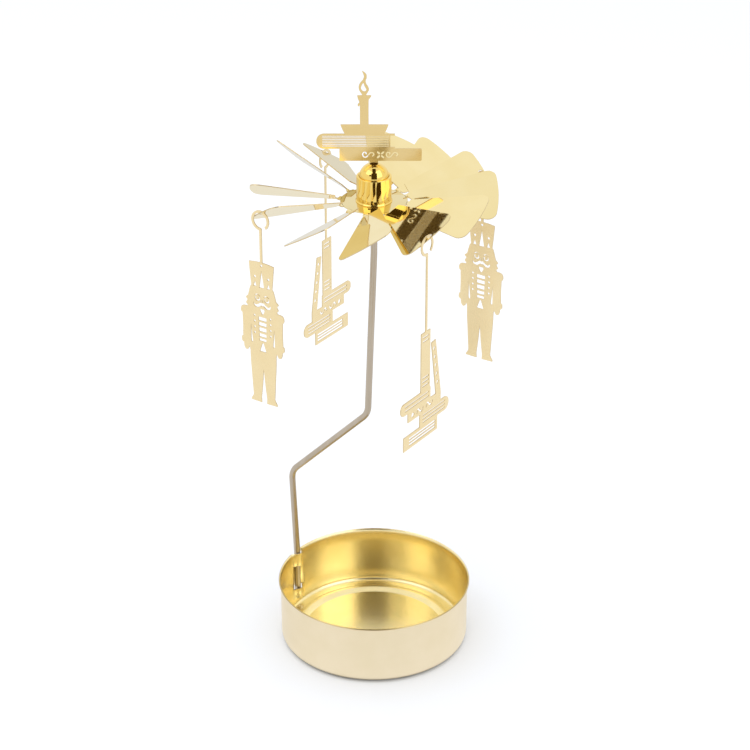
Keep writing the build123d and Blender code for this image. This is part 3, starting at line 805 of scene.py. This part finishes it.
flame = flow([
    (-0.34, -0.1), (-1.0, 0.8), (-1.5, 1.8), (-1.5, 2.9), (-1.0, 3.9), (-0.4, 4.6), (-0.1, 5.4),
    (-0.2, 6.2), (-0.6, 7.2), (0.1, 6.8), (0.65, 6.1), (0.7, 5.2), (0.45, 4.4), (0.55, 3.5),
    (1.1, 2.6), (1.35, 1.7), (1.0, 0.9), (0.34, -0.1),
])
topper_solids = [tab, scrolled_bar, lying_book, dish]
topper_solids += [moved(shape, candle_x, flame_low) for shape in (candle, flame)]
print("topper outline:", len(topper_solids), "shapes")

# %% Topper
def slits(left, right, middle, spacing, count, half):
    """Level slits, evenly spaced about a middle height."""
    heights = [middle + spacing * (k - (count - 1) / 2) for k in range(count)]
    return [bar(left, y - half, right, y + half) for y in heights]


flame_hole = flow([
    (-0.3, 3.6), (-0.75, 2.9), (-0.9, 2.0), (-0.45, 1.3), (0.25, 1.15), (0.6, 1.7), (0.2, 2.5), (-0.1, 3.3)
])
topper_cuts = [moved(flame_hole, candle_x, flame_low)]
topper_cuts += slits(-14.8, 4.3, book_low + 2.3, 0.5, 7, 0.13)
ornament_y = bar_low + 1.85
petal = flow([(0.2, 0), (0.6, -0.3), (1.25, -0.22), (1.45, 0), (1.25, 0.22), (0.6, 0.3)], 4)
for corner in range(4):
    turn = Matrix.Rotation(math.radians(45 + 90 * corner), 2)
    topper_cuts.append(moved([tuple(turn @ Vector(p)) for p in petal], bar_x, ornament_y))
scroll = stroke([
    (-0.75, 0.25), (-0.85, 0.7), (-1.45, 0.72), (-1.75, 0.05), (-1.4, -0.65), (-0.7, -0.7),
    (-0.1, -0.05), (0.45, 0.6), (1.15, 0.6), (1.5, 0.05), (1.1, -0.35),
], 0.36)
topper_cuts += [moved(scroll, bar_x + aside, ornament_y) for aside in (-3.4, 3.4)]
topper_mesh = etched("topper", topper_solids, topper_cuts, figure_sheet, topper_place)
add_piece("candle_topper", topper_mesh, [topper_metal, edge_metal], "rotor", "etched_gold", "topper")


# %% [markdown]
# The four pendants are etched in one with their strip and their hook ring, which is left open beside
# the strip so that it can be slipped through a blade's hole. Two are nutcracker soldiers, two are
# stacks of books. Each hangs in the plane of its hinge, so the joints of the record place them.

# %% Hook ring and hanging
ring_y, ring_in, ring_out = -2.22, 2.3, 3.1
strip_half = 0.4


def hook_and_strip(strip_low):
    """The ring, open on the right of the strip, and the strip below it."""
    turns = [math.radians(-84 - 325 * i / 48) for i in range(49)]
    line_in = [(ring_in * math.cos(a), ring_y + ring_in * math.sin(a)) for a in turns]
    line_out = [(ring_out * math.cos(a), ring_y + ring_out * math.sin(a)) for a in reversed(turns)]
    return [bar(-strip_half, strip_low, strip_half, ring_y - ring_in - 0.3), line_in + line_out]


def hang(name, solids, cuts, body, node):
    """Hangs a figure, drawn with the hinge at its zero point, in the plane of its body's hinge."""
    joint = next(j for j in frame["record"]["behaviour"]["joints"] if j["child"] == body)
    along = -Vector(joint["axis"]).normalized()
    up = Vector((0, 0, 1))
    turned = Matrix((along, up, along.cross(up))).transposed().to_4x4()
    mesh = etched(name, solids, cuts, figure_sheet, Matrix.Translation(Vector(joint["pos_m"])) @ turned)
    add_piece(name, mesh, [pendant_metal, edge_metal], body, "etched_gold", node)


print("each hook ring is", 2 * ring_out, "mm across")

# %% Soldiers
soldier_height = 45.5
feet = ring_y - ring_out - 10.0 - soldier_height
soldier_half = [
    (0, 45.5), (2.3, 45.4), (4.4, 45.1), (4.05, 41.0), (3.7, 37.8), (4.15, 37.2), (4.5, 36.0), (5.0, 34.2),
    (5.9, 33.4), (5.25, 32.6), (5.85, 31.6), (5.2, 30.9), (5.5, 30.5), (6.6, 30.45), (7.3, 30.2),
    (7.65, 29.7), (7.8, 28.9), (7.6, 28.2), (7.2, 28.0), (7.1, 24.0), (7.2, 20.4), (7.65, 20.2),
    (7.7, 19.0), (7.35, 18.5), (6.95, 18.4), (6.85, 17.2), (6.5, 16.5), (6.0, 16.2), (5.45, 16.5),
    (5.1, 17.2), (4.85, 17.6), (4.65, 16.4), (4.6, 13.5), (4.05, 5.0), (3.85, 2.0), (4.3, 1.2), (4.7, 0.6),
    (4.75, 0.1), (0.95, 0), (1.05, 1.6), (0.5, 6.0), (0.15, 10.0), (0, 11.2),
]
soldier_solids = hook_and_strip(feet + 45.4) + [moved(mirrored(soldier_half), 0, feet)]

eye_turns = [math.radians(150 + 240 * i / 8) for i in range(9)]
eye = [(1.65 + 0.72 * math.cos(a), 33.85 + 0.62 * math.sin(a)) for a in eye_turns]
paired_cuts = [
    disc(2.4, 40.7, 0.42, 20),
    [(1.8, 37.6), (3.0, 37.6), (2.4, 39.4)],
    stroke([(0.8, 34.75), (1.6, 35.2), (2.45, 34.8)], 0.26),
    stroke(eye, 0.42),
    stroke([(0.25, 33.6), (0.32, 33.0)], 0.24),
    flow([(4.2, 25.2), (4.3, 22.0), (4.3, 19.7), (3.95, 19.2), (3.6, 19.7), (3.85, 22.0)], 4),
]
soldier_cuts = [disc(0, 44.5, 0.4)]
for side in (-1, 1):
    soldier_cuts += [[(side * x, y) for x, y in shape] for shape in paired_cuts]
    soldier_cuts += [disc(2.85 * side, 28.2 - 1.85 * k, 0.36, 20) for k in range(4)]
soldier_cuts += [
    [(-0.9, 37.5), (0.9, 37.5), (0, 43.0)],
    flow([
        (0, 28.9), (0.55, 29.6), (0.85, 30.3), (0.5, 30.75), (0, 30.65), (-0.5, 30.75), (-0.85, 30.3),
        (-0.55, 29.6),
    ], 4),
    [(-1.2, 16.9), (1.2, 16.9), (0.25, 19.7), (-0.25, 19.7)],
    flow(mirrored([
        (0, 32.55), (0.5, 32.75), (1.3, 32.15), (2.4, 31.75), (3.1, 32.5), (2.85, 31.3), (1.6, 31.0),
        (0.6, 31.7), (0, 31.6),
    ]), 3),
]
coat_bars = [(26.9, 28.1, 1.45), (25.2, 26.4, 1.4), (23.4, 24.7, 1.35), (21.7, 22.8, 1.3), (20.3, 21.2, 1.25)]
soldier_cuts += [bar(-half, low, half, high) for low, high, half in coat_bars]
soldier_cuts = [moved(c, 0, feet) for c in soldier_cuts]
hang("soldier_left", soldier_solids, soldier_cuts, "left_nutcracker", "nutcracker_a")
hang("soldier_right", soldier_solids, soldier_cuts, "right_nutcracker", "nutcracker_b")

# %% Stacks of books
stack_height = 34.0
stack_feet = ring_y - ring_out - 23.3 - stack_height
stack_solids = hook_and_strip(stack_feet + 33.9)
stack_solids += [moved(shape, 0, stack_feet) for shape in (
    bar(-2.6, 15.3, 2.1, stack_height),
    [(5.5, 11.4), (8.0, 11.6), (5.0, 29.5), (2.8, 29.2)],
    rounded([(2.5, 11.7, 0), (2.5, 15.5, 0), (-13.0, 15.5, 1.8), (-13.0, 11.7, 1.8)], 12),
    bar(-9.2, 8.6, 8.0, 11.8),
    rounded([(-3.0, 4.4, 0), (12.35, 4.4, 2.1), (12.35, 8.7, 2.1), (-3.0, 8.7, 0)], 12),
    bar(-11.4, 0, 6.3, 4.5),
)]
stack_cuts = slits(-8.6, 5.3, 2.18, 0.96, 3, 0.37)
stack_cuts += slits(-1.6, 10.2, 6.55, 1.1, 3, 0.22)
stack_cuts += slits(-10.9, 1.6, 13.6, 1.3, 2, 0.22)
stack_cuts += slits(-1.9, 1.4, 31.9, 1.3, 2, 0.24)
stack_cuts += slits(-1.9, 1.4, 18.4, 1.3, 3, 0.24)
diamond = [(0.08, -0.8), (0.62, 0.1), (-0.08, 0.8), (-0.62, -0.1)]
stack_cuts += [moved(diamond, 4.2 + 0.5 * k, 27.0 - 2.9 * k) for k in range(5)]
stack_cuts.append(disc(-6.7, 10.2, 0.75, 24))
stack_scroll = stroke([(-1.6, -0.3), (-1.2, 0.5), (-0.45, 0.5), (0.4, -0.5), (1.2, -0.5), (1.6, 0.3)], 0.6)
stack_cuts += [moved(stack_scroll, x, 10.2) for x in (-3.1, 1.9)]
stack_cuts = [moved(c, 0, stack_feet) for c in stack_cuts]
hang("books_front", stack_solids, stack_cuts, "front_books", "book_stack_a")
hang("books_back", stack_solids, stack_cuts, "back_books", "book_stack_b")


# %% [markdown]
# The stage is a plain pale table in an even white room, with one large soft lamp above it. Polished
# metal shows what stands around it, so its reflections are arranged as a photographer would do it.
# In them the table glows evenly, but it carries a painted shadow under the cup and painted shade
# at its far end, which the blades on the left look along.

# %% Table
view_turn, view_rise, view_far = math.radians(32), math.radians(27.209), 0.68277


def fade(tree, value, start, end, first, last):
    """A soft change from first to last while a value goes from start to end."""
    return step(
        tree, "ShaderNodeMapRange", (value, "Value"), (start, "From Min"), (end, "From Max"),
        (first, "To Min"), (last, "To Max"), interpolation_type="SMOOTHSTEP",
    ).outputs["Result"]


def show(tree, shader):
    tree.links.new(shader, tree.nodes["Material Output"].inputs["Surface"])


def panel(name, width, height, material):
    mesh = bpy.data.meshes.new(name)
    w, h = width / 2, height / 2
    mesh.from_pydata([(-w, -h, 0), (w, -h, 0), (w, h, 0), (-w, h, 0)], [], [(0, 1, 2, 3)])
    mesh.materials.append(material)
    return link(name, mesh)


table_paint, table_tree = new_material("table_white")
table_coat = table_tree.nodes["Principled BSDF"]
table_coat.inputs["Base Color"].default_value = (0.90, 0.925, 0.975, 1)
table_coat.inputs["Roughness"].default_value = 0.9
table_coat.inputs["Specular IOR Level"].default_value = 0.1
table_spot = step(table_tree, "ShaderNodeTexCoord").outputs["Object"]
from_middle = step(table_tree, "ShaderNodeVectorMath", (table_spot, 0), operation="LENGTH")
behind = step(
    table_tree, "ShaderNodeVectorMath", (table_spot, 0),
    ((-math.sin(view_turn), math.cos(view_turn), 0), 1), operation="DOT_PRODUCT",
)
# Painted shadow under the cup and painted shade at the far end, in the glow that reflections see.
painted_shadow_under_cup = fade(table_tree, from_middle.outputs["Value"], 0.0275, 0.0305, 0.1, 0.97)
painted_far_end_shade = fade(table_tree, behind.outputs["Value"], 0.08, 0.24, 1.0, 0.84)
table_glow = step(
    table_tree, "ShaderNodeEmission", (maths(table_tree, "MULTIPLY", painted_shadow_under_cup, painted_far_end_shade), "Strength")
)
table_rays = step(table_tree, "ShaderNodeLightPath")
show(table_tree, step(
    table_tree, "ShaderNodeMixShader", (table_rays.outputs["Is Glossy Ray"], "Fac"),
    (table_coat.outputs["BSDF"], 1), (table_glow.outputs["Emission"], 2),
).outputs["Shader"])
table = panel("table", 4, 4, table_paint)
print("the table is", table.dimensions.x, "m wide")

# %% [markdown]
# Two softboxes stand beside the camera and give the broad bright shapes in the metal. Three dark
# cards, one in the camera's own line, one above it and a small one to its left, give the dark bands
# on the hub, in the blades and in the cup. All five show in reflections only.

# %% Cards and softboxes
def emitting(name, colour, strength):
    material, tree = new_material(name)
    tree.nodes.remove(tree.nodes["Principled BSDF"])
    glow = step(tree, "ShaderNodeEmission", ((*colour, 1), "Color"), (strength, "Strength"))
    show(tree, glow.outputs["Emission"])
    return material


def only_in_reflections(thing):
    thing.visible_camera = False
    thing.visible_diffuse = False
    thing.visible_shadow = False
    thing.visible_transmission = False


def way_to(turn, rise):
    """The direction from the carousel to a place at a turn round it and a rise above the table."""
    return Vector((math.sin(turn) * math.cos(rise), -math.cos(turn) * math.cos(rise), math.sin(rise)))


def face_middle(thing, way):
    thing.rotation_euler = way.to_track_quat("Z", "Y").to_euler()


def reflected_card(name, side, rise, far, width, height, material):
    """A card that faces the carousel from an angle beside and above the camera's own line."""
    way = way_to(view_turn + math.radians(side), math.radians(rise))
    thing = panel(name, width, height, material)
    thing.location = Vector((0, 0, 0.15)) + way * far
    face_middle(thing, way)
    only_in_reflections(thing)
    print(name, "stands", far, "m away")


dark = emitting("card_dark", (0.06, 0.04, 0.015), 1.0)
bright = emitting("softbox_white", (1.0, 1.0, 1.0), 1.85)
reflected_card("dark_card", 2, 26, 0.33, 0.27, 0.30, dark)
reflected_card("tall_dark_card", 2, 64, 0.5, 0.22, 0.42, dark)
reflected_card("small_dark_card", -34, 29, 0.9, 0.22, 0.19, dark)
reflected_card("softbox_right", 46, 36, 1.1, 1.0, 1.0, bright)
reflected_card("softbox_left", -52, 44, 1.1, 0.9, 0.6, bright)

# %% Lamp, room and camera
lamp_data = bpy.data.lights.new("soft_lamp", "AREA")
lamp_data.shape = "RECTANGLE"
lamp_data.size = 0.9
lamp_data.size_y = 0.9
lamp_data.energy = 2.55
lamp = link("soft_lamp", lamp_data)
lamp.location = (-0.05, -0.2, 0.95)
face_middle(lamp, Vector(lamp.location) - Vector((0, 0, 0.1)))
lamp.visible_glossy = False

world = bpy.data.worlds.new("white_room")
bpy.context.scene.world = world
world.use_nodes = True
world.node_tree.nodes["Background"].inputs["Color"].default_value = (1, 1, 1, 1)
world.node_tree.nodes["Background"].inputs["Strength"].default_value = 1.0

camera_data = bpy.data.cameras.new("camera")
camera_data.lens = 108.79
camera_data.sensor_width = 36
camera = link("camera", camera_data)
towards = way_to(view_turn, view_rise)
aim = Vector((0, 0, 0.09177)) + Vector((math.cos(view_turn), math.sin(view_turn), 0)) * 0.0003
camera.location = aim + towards * view_far
face_middle(camera, towards)
bpy.context.scene.camera = camera
bpy.context.scene.view_settings.view_transform = "Standard"
print("the camera looks down by", round(math.degrees(view_rise), 1), "degrees from", view_far, "m")
